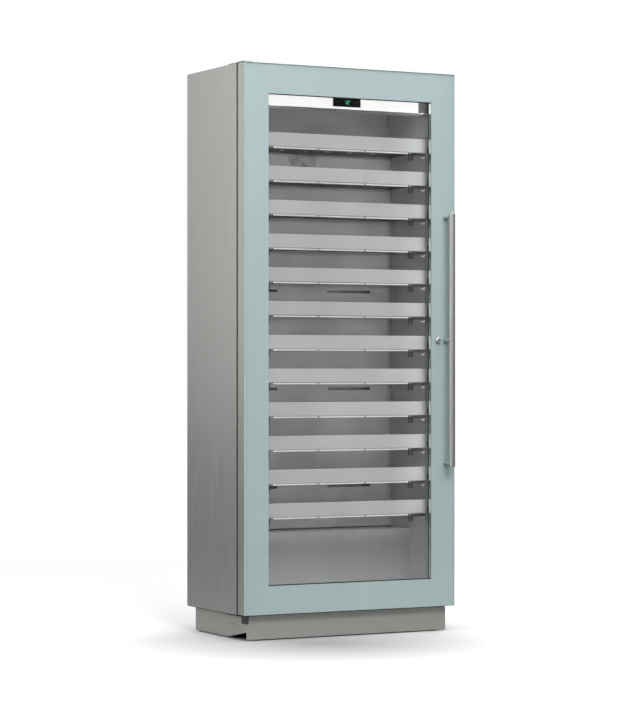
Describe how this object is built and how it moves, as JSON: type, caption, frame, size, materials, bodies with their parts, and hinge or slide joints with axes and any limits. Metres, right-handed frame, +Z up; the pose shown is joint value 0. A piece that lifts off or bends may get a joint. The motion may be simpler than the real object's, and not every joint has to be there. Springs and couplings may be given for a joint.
{
  "type": "wine cooler",
  "caption": "Tall built-in wine cooler: insulated steel case, hinged glass door with bar handle and lock, sliding bottle shelves, lit control header, rear cooling unit, recessed plinth",
  "frame": {"origin": "on the floor, in the middle of the overall footprint, handle included", "axes": "+Z up along the height, the door faces -Y, +X is to the right for someone who faces the door"},
  "size_m": [0.9, 0.549, 2.1343],
  "materials": {
    "brushed_steel_case": "satin",
    "galvanised_sheet": "matte",
    "plinth_steel": "satin",
    "front_glass": "gloss",
    "clear_glass": "gloss",
    "spacer_black": "matte",
    "gasket_rubber": "matte",
    "handle_steel": "polished",
    "lock_chrome": "polished",
    "band_aluminium": "satin",
    "rack_wood": "satin",
    "rail_grey": "satin",
    "black_paint": "satin",
    "liner_plastic": "satin",
    "insulation": "matte",
    "duct_plastic": "satin",
    "light_white": "satin",
    "display_black": "gloss",
    "fin_aluminium": "satin",
    "black_enamel": "gloss",
    "black_plastic": "matte",
    "hinge_steel": "satin"
  },
  "bodies": {
    "cabinet": {"left_side_panel": "brushed_steel_case", "right_side_panel": "brushed_steel_case", "face_frame": "brushed_steel_case", "top_panel": "galvanised_sheet", "rear_panel": "galvanised_sheet", "base_frame": "black_paint", "inner_liner": "liner_plastic", "insulation_foam": "insulation", "control_header": "liner_plastic", "plinth_skirt": "plinth_steel", "kick_plate": "plinth_steel", "left_rail_ladder": "rail_grey", "right_rail_ladder": "rail_grey", "light_diffuser": "light_white", "display_module": "display_black", "air_duct_cover": "duct_plastic", "evaporator": "fin_aluminium", "compressor": "black_enamel", "condenser": "black_enamel", "condenser_fan_motor": "galvanised_sheet", "drain_tray": "black_plastic", "upper_hinge": "hinge_steel", "lower_hinge": "black_enamel"},
    "door": {"front_pane": "front_glass", "inner_pane": "clear_glass", "glazing_spacer": "spacer_black", "door_frame": "brushed_steel_case", "door_gasket": "gasket_rubber", "handle": "handle_steel"},
    "lock": {"lock_cylinder": "lock_chrome"},
    "shelf_01": {"shelf_01_front": "band_aluminium", "shelf_01_rack": "rack_wood"},
    "shelf_02": {"shelf_02_front": "band_aluminium", "shelf_02_rack": "rack_wood"},
    "shelf_03": {"shelf_03_front": "band_aluminium", "shelf_03_rack": "rack_wood"},
    "shelf_04": {"shelf_04_front": "band_aluminium", "shelf_04_rack": "rack_wood"},
    "shelf_05": {"shelf_05_front": "band_aluminium", "shelf_05_rack": "rack_wood"},
    "shelf_06": {"shelf_06_front": "band_aluminium", "shelf_06_rack": "rack_wood"},
    "shelf_07": {"shelf_07_front": "band_aluminium", "shelf_07_rack": "rack_wood"},
    "shelf_08": {"shelf_08_front": "band_aluminium", "shelf_08_rack": "rack_wood"},
    "shelf_09": {"shelf_09_front": "band_aluminium", "shelf_09_rack": "rack_wood"},
    "shelf_10": {"shelf_10_front": "band_aluminium", "shelf_10_rack": "rack_wood"},
    "shelf_11": {"shelf_11_front": "band_aluminium", "shelf_11_rack": "rack_wood"},
    "shelf_12": {"shelf_12_front": "band_aluminium", "shelf_12_rack": "rack_wood"},
    "evaporator_fan": {"evaporator_fan_impeller": "black_plastic"},
    "condenser_fan": {"condenser_fan_impeller": "black_plastic"},
    "foot_front_left": {"foot_front_left": "black_plastic"},
    "foot_front_right": {"foot_front_right": "black_plastic"},
    "foot_back_left": {"foot_back_left": "black_plastic"},
    "foot_back_right": {"foot_back_right": "black_plastic"}
  },
  "joints": [
    {"name": "door_hinge", "type": "hinge", "parent": "cabinet", "child": "door", "pos_m": [-0.4365, -0.1935, 0.096], "axis": [0, 0, -1], "range_deg": [0, 110]},
    {"name": "lock_turn", "type": "hinge", "parent": "door", "child": "lock", "pos_m": [0.377, -0.2165, 1.1125], "axis": [0, 1, 0], "range_deg": [0, 90]},
    {"name": "shelf_01_slide", "type": "slide", "parent": "cabinet", "child": "shelf_01", "axis": [0, -1, 0], "range_m": [0, 0.035]},
    {"name": "shelf_02_slide", "type": "slide", "parent": "cabinet", "child": "shelf_02", "axis": [0, -1, 0], "range_m": [0, 0.035]},
    {"name": "shelf_03_slide", "type": "slide", "parent": "cabinet", "child": "shelf_03", "axis": [0, -1, 0], "range_m": [0, 0.035]},
    {"name": "shelf_04_slide", "type": "slide", "parent": "cabinet", "child": "shelf_04", "axis": [0, -1, 0], "range_m": [0, 0.035]},
    {"name": "shelf_05_slide", "type": "slide", "parent": "cabinet", "child": "shelf_05", "axis": [0, -1, 0], "range_m": [0, 0.035]},
    {"name": "shelf_06_slide", "type": "slide", "parent": "cabinet", "child": "shelf_06", "axis": [0, -1, 0], "range_m": [0, 0.035]},
    {"name": "shelf_07_slide", "type": "slide", "parent": "cabinet", "child": "shelf_07", "axis": [0, -1, 0], "range_m": [0, 0.035]},
    {"name": "shelf_08_slide", "type": "slide", "parent": "cabinet", "child": "shelf_08", "axis": [0, -1, 0], "range_m": [0, 0.035]},
    {"name": "shelf_09_slide", "type": "slide", "parent": "cabinet", "child": "shelf_09", "axis": [0, -1, 0], "range_m": [0, 0.035]},
    {"name": "shelf_10_slide", "type": "slide", "parent": "cabinet", "child": "shelf_10", "axis": [0, -1, 0], "range_m": [0, 0.035]},
    {"name": "shelf_11_slide", "type": "slide", "parent": "cabinet", "child": "shelf_11", "axis": [0, -1, 0], "range_m": [0, 0.035]},
    {"name": "shelf_12_slide", "type": "slide", "parent": "cabinet", "child": "shelf_12", "axis": [0, -1, 0], "range_m": [0, 0.035]},
    {"name": "evaporator_fan_spin", "type": "hinge", "parent": "cabinet", "child": "evaporator_fan", "pos_m": [0, 0.188, 1.83], "axis": [0, 1, 0], "continuous": true},
    {"name": "condenser_fan_spin", "type": "hinge", "parent": "cabinet", "child": "condenser_fan", "pos_m": [0.05, 0.1815, 0.205], "axis": [1, 0, 0], "continuous": true},
    {"name": "foot_front_left_turn", "type": "hinge", "parent": "cabinet", "child": "foot_front_left", "pos_m": [-0.376, -0.1615, 0], "axis": [0, 0, 1], "continuous": true},
    {"name": "foot_front_right_turn", "type": "hinge", "parent": "cabinet", "child": "foot_front_right", "pos_m": [0.376, -0.1615, 0], "axis": [0, 0, 1], "continuous": true},
    {"name": "foot_back_left_turn", "type": "hinge", "parent": "cabinet", "child": "foot_back_left", "pos_m": [-0.4, 0.2275, 0], "axis": [0, 0, 1], "continuous": true},
    {"name": "foot_back_right_turn", "type": "hinge", "parent": "cabinet", "child": "foot_back_right", "pos_m": [0.4, 0.2275, 0], "axis": [0, 0, 1], "continuous": true}
  ]
}
